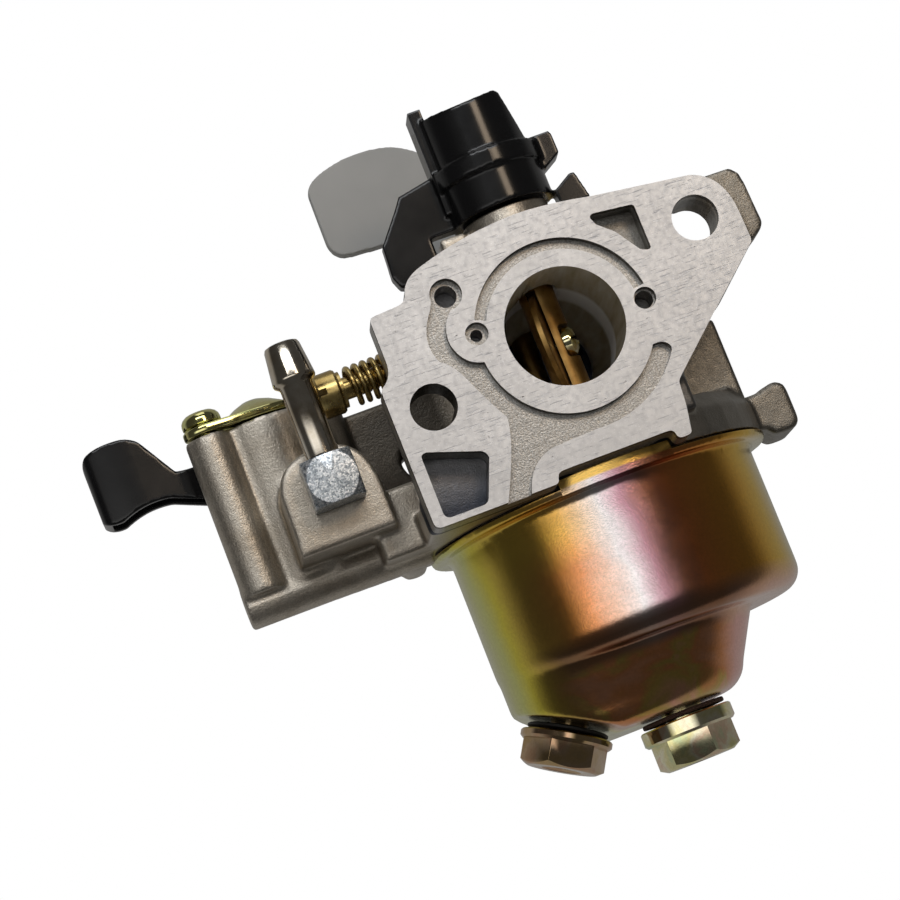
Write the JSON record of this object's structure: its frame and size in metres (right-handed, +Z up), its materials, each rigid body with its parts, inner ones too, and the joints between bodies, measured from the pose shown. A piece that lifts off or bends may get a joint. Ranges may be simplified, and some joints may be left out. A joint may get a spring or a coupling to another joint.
{
  "type": "carburetor",
  "caption": "Small-engine float-bowl carburetor with cast body, steel bowl, throttle and choke levers, fuel tap and hose nipple.",
  "frame": {"origin": "centre of the throttle bore in the plane of the engine flange face", "axes": "+Y along the air passage from the engine face to the air-cleaner face, +Z up along the float bowl axis away from the bowl, +X to the side away from the fuel tap"},
  "size_m": [0.0936, 0.0526, 0.0977],
  "materials": {
    "cast_aluminium": "grainy die-cast skin with scratched machined faces",
    "passivated_steel": "yellow-iridescent zinc passivated sheet and turned steel",
    "zinc_steel": "bright zinc plated",
    "brass": "turned brass",
    "black_plastic": "glossy moulded black",
    "grey_plastic": "satin moulded grey",
    "rubber": "matt black rubber",
    "float_plastic": "moulded float plastic",
    "washer": "pressed fibre"
  },
  "bodies": {
    "carburetor_body": {"body_casting": "cast_aluminium", "float_bowl": "passivated_steel", "bowl_gasket": "rubber", "bowl_bolt": "passivated_steel", "bowl_bolt_washer": "washer", "drain_bolt": "passivated_steel", "drain_gasket": "rubber", "throttle_seal": "rubber", "fuel_tap_seal": "rubber", "fuel_tap_spring": "zinc_steel", "fuel_tap_cover": "passivated_steel", "cover_screw_left": "passivated_steel", "cover_screw_right": "passivated_steel", "fuel_inlet_block": "zinc_steel", "fuel_nipple": "zinc_steel", "mixture_screw_spring": "brass", "throttle_stop_spring": "zinc_steel", "float_pin": "zinc_steel", "needle_seat": "brass", "emulsion_tube": "brass", "main_jet": "brass", "pilot_jet": "brass"},
    "throttle": {"throttle_shaft": "zinc_steel", "throttle_plate": "brass", "throttle_plate_screw": "brass", "throttle_lever": "black_plastic"},
    "choke": {"choke_shaft": "zinc_steel", "choke_plate": "zinc_steel", "choke_plate_screw": "brass", "choke_lever": "grey_plastic"},
    "fuel_tap": {"fuel_tap_lever": "black_plastic"},
    "float_arm": {"float": "float_plastic"},
    "needle": {"float_needle": "zinc_steel"},
    "mixture_adjuster": {"mixture_screw": "brass"},
    "stop_adjuster": {"throttle_stop_screw": "brass"}
  },
  "joints": [
    {"name": "throttle_turn", "type": "hinge", "parent": "carburetor_body", "child": "throttle", "pos_m": [0, 0.012, 0], "axis": [0, 0, 1], "range_deg": [-64, 16]},
    {"name": "choke_turn", "type": "hinge", "parent": "carburetor_body", "child": "choke", "pos_m": [0, 0.039, 0], "axis": [0, 0, 1], "range_deg": [-75, 0]},
    {"name": "fuel_tap_turn", "type": "hinge", "parent": "carburetor_body", "child": "fuel_tap", "pos_m": [-0.0395, 0.027, 0], "axis": [0, 0, 1], "range_deg": [-90, 0]},
    {"name": "float_hinge", "type": "hinge", "parent": "carburetor_body", "child": "float_arm", "pos_m": [0, 0.046, -0.0205], "axis": [-1, 0, 0], "range_deg": [0, 10]},
    {"name": "needle_slide", "type": "slide", "parent": "carburetor_body", "child": "needle", "axis": [0, 0, 1], "range_m": [0, 0.0006]},
    {"name": "mixture_screw_turn", "type": "hinge", "parent": "carburetor_body", "child": "mixture_adjuster", "pos_m": [-0.03, 0.012, 0.0045], "axis": [1, 0, 0], "range_deg": [-720, 360]},
    {"name": "stop_screw_turn", "type": "hinge", "parent": "carburetor_body", "child": "stop_adjuster", "pos_m": [0.01, 0.025, 0.0154], "axis": [1, 0, 0], "range_deg": [-720, 360]}
  ],
  "couplings": [
    {"joint": "needle_slide", "follows": "float_hinge", "m_per_rad": 0.0034}
  ]
}
